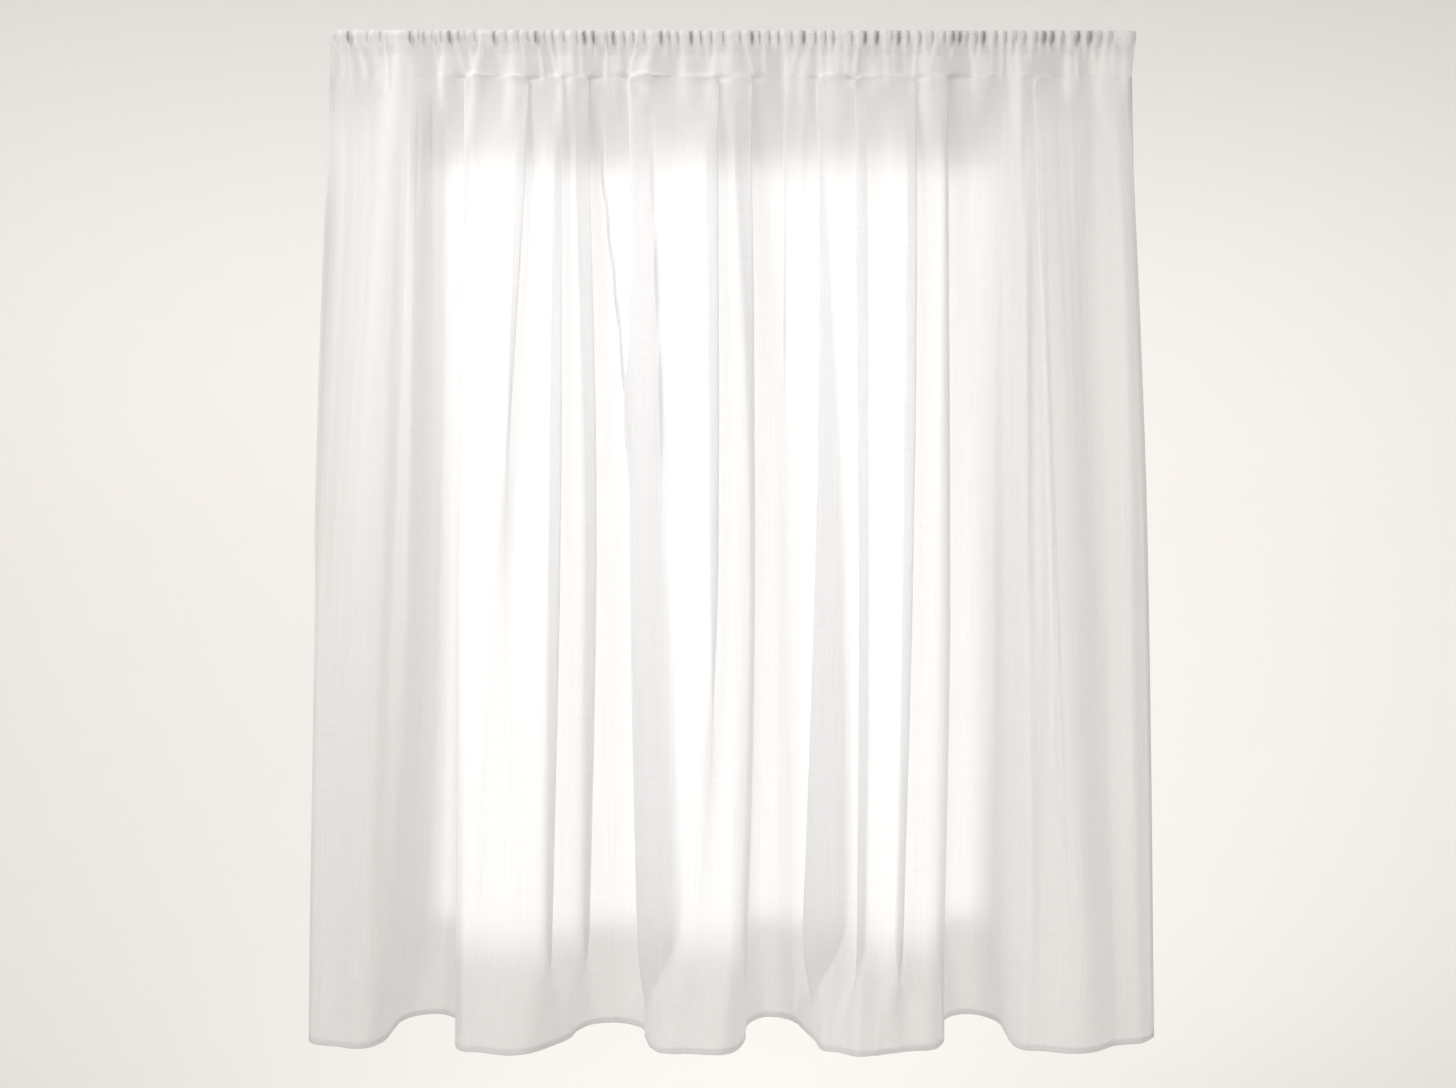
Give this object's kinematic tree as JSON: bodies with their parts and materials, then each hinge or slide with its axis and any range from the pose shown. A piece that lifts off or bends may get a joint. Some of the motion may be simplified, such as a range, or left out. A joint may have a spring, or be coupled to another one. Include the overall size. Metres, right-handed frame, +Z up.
{
  "type": "sheer voile curtain",
  "caption": "Sheer white voile curtain, gathered along a rod pocket at its top and hanging in soft uneven folds to a narrow hem.",
  "frame": {"origin": "middle of the curtain's top edge", "axes": "+X across the curtain, to the right as seen from the room; -Y out of the curtain, towards the room; +Z up"},
  "size_m": [1.5236, 0.228, 1.83],
  "materials": {
    "voile": "sheer plain-weave voile, one layer, matt, off-white, light shows through it",
    "voile_doubled": "the same sheer voile in two layers, tightly gathered, denser and greyer than one layer"
  },
  "bodies": {
    "root": {"rod_pocket": "voile_doubled", "voile_panel": "voile"}
  },
  "joints": []
}
